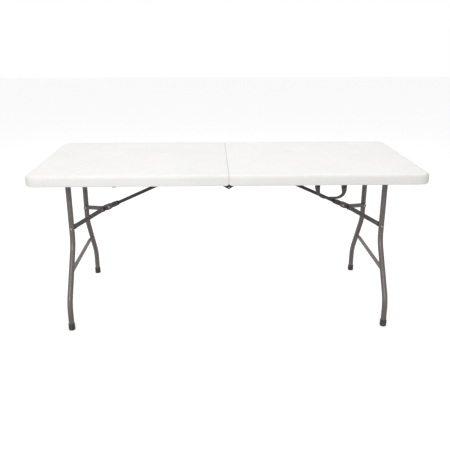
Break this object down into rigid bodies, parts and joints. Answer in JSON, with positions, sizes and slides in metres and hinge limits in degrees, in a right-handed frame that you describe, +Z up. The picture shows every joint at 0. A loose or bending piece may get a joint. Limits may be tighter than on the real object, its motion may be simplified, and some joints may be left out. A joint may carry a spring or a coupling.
{
  "type": "folding table",
  "caption": "Rectangular folding table: white moulded top hinged across the middle, splayed steel tube legs, folding brace to each leg frame and a carry handle.",
  "frame": {"origin": "floor point under the middle of the table", "axes": "+X along the length to the half with the carry handle, -Y towards the front, where the handle is, +Z up"},
  "size_m": [1.72, 0.76, 0.74],
  "materials": {
    "top_plastic": "finely pebbled moulded polyethylene",
    "frame_steel": "dark grey-brown hammered powder coat",
    "hinge_steel": "satin black",
    "bright_steel": "zinc plated",
    "foot_plastic": "dark grey moulded",
    "handle_plastic": "dark grey moulded"
  },
  "bodies": {
    "half_left": {"top_half_left": "top_plastic", "rail_front_left": "frame_steel", "rail_rear_left": "frame_steel", "leg_brackets_left": "frame_steel", "brace_anchor_left": "frame_steel", "brace_anchor_pin_left": "bright_steel", "rail_screws_left": "bright_steel", "bracket_screws_left": "bright_steel", "anchor_screws_left": "bright_steel", "hinge_ears_left": "hinge_steel", "hinge_pins": "bright_steel", "case_catch": "top_plastic"},
    "leg_left": {"leg_tube_front_left": "frame_steel", "leg_tube_rear_left": "frame_steel", "leg_pivot_tube_left": "frame_steel", "leg_pivot_plugs_left": "frame_steel", "leg_crossbar_left": "frame_steel", "foot_caps_left": "foot_plastic", "brace_bolts_left": "bright_steel"},
    "brace_bar_left": {"brace_bar_left": "frame_steel"},
    "fork_left": {"fork_head_left": "frame_steel", "fork_arms_left": "frame_steel", "fork_rivets_left": "bright_steel", "knee_rivet_left": "bright_steel"},
    "lock_ring_left": {"lock_ring_left": "frame_steel"},
    "half_right": {"top_half_right": "top_plastic", "rail_front_right": "frame_steel", "rail_rear_right": "frame_steel", "leg_brackets_right": "frame_steel", "brace_anchor_right": "frame_steel", "brace_anchor_pin_right": "bright_steel", "rail_screws_right": "bright_steel", "bracket_screws_right": "bright_steel", "anchor_screws_right": "bright_steel", "hinge_ears_right": "hinge_steel", "handle_lugs": "hinge_steel"},
    "leg_right": {"leg_tube_front_right": "frame_steel", "leg_tube_rear_right": "frame_steel", "leg_pivot_tube_right": "frame_steel", "leg_pivot_plugs_right": "frame_steel", "leg_crossbar_right": "frame_steel", "foot_caps_right": "foot_plastic", "brace_bolts_right": "bright_steel"},
    "brace_bar_right": {"brace_bar_right": "frame_steel"},
    "fork_right": {"fork_head_right": "frame_steel", "fork_arms_right": "frame_steel", "fork_rivets_right": "bright_steel", "knee_rivet_right": "bright_steel"},
    "lock_ring_right": {"lock_ring_right": "frame_steel"},
    "carry_handle": {"carry_handle": "handle_plastic", "handle_pins": "bright_steel"}
  },
  "joints": [
    {"name": "centre_fold", "type": "hinge", "parent": "half_left", "child": "half_right", "pos_m": [0, 0, 0.684], "axis": [0, 1, 0], "range_deg": [0, 90]},
    {"name": "leg_fold_left", "type": "hinge", "parent": "half_left", "child": "leg_left", "pos_m": [-0.726, 0, 0.7], "axis": [0, -1, 0], "range_deg": [0, 90]},
    {"name": "brace_bar_turn_left", "type": "hinge", "parent": "half_left", "child": "brace_bar_left", "pos_m": [-0.08, 0, 0.716], "axis": [0, 1, 0], "range_deg": [0, 21.82]},
    {"name": "knee_turn_left", "type": "hinge", "parent": "brace_bar_left", "child": "fork_left", "pos_m": [-0.57684, 0, 0.49296], "axis": [0, -1, 0], "range_deg": [0, 184.65]},
    {"name": "lock_ring_slide_left", "type": "slide", "parent": "brace_bar_left", "child": "lock_ring_left", "axis": [0.9123, 0, 0.4095], "range_m": [0, 0.1]},
    {"name": "leg_fold_right", "type": "hinge", "parent": "half_right", "child": "leg_right", "pos_m": [0.726, 0, 0.7], "axis": [0, 1, 0], "range_deg": [0, 90]},
    {"name": "brace_bar_turn_right", "type": "hinge", "parent": "half_right", "child": "brace_bar_right", "pos_m": [0.08, 0, 0.716], "axis": [0, -1, 0], "range_deg": [0, 21.82]},
    {"name": "knee_turn_right", "type": "hinge", "parent": "brace_bar_right", "child": "fork_right", "pos_m": [0.57684, 0, 0.49296], "axis": [0, 1, 0], "range_deg": [0, 184.65]},
    {"name": "lock_ring_slide_right", "type": "slide", "parent": "brace_bar_right", "child": "lock_ring_right", "axis": [-0.9123, 0, 0.4095], "range_m": [0, 0.1]},
    {"name": "handle_swing", "type": "hinge", "parent": "half_right", "child": "carry_handle", "pos_m": [0.4385, -0.356, 0.687], "axis": [-1, 0, 0], "range_deg": [-20, 90]}
  ],
  "couplings": [
    {"joint": "brace_bar_turn_left", "follows": "leg_fold_left", "ratio": 0.24225},
    {"joint": "knee_turn_left", "follows": "leg_fold_left", "ratio": 2.0514},
    {"joint": "lock_ring_slide_left", "follows": "leg_fold_left", "m_per_rad": 0.0636},
    {"joint": "brace_bar_turn_right", "follows": "leg_fold_right", "ratio": 0.24225},
    {"joint": "knee_turn_right", "follows": "leg_fold_right", "ratio": 2.0514},
    {"joint": "lock_ring_slide_right", "follows": "leg_fold_right", "m_per_rad": 0.0636}
  ]
}
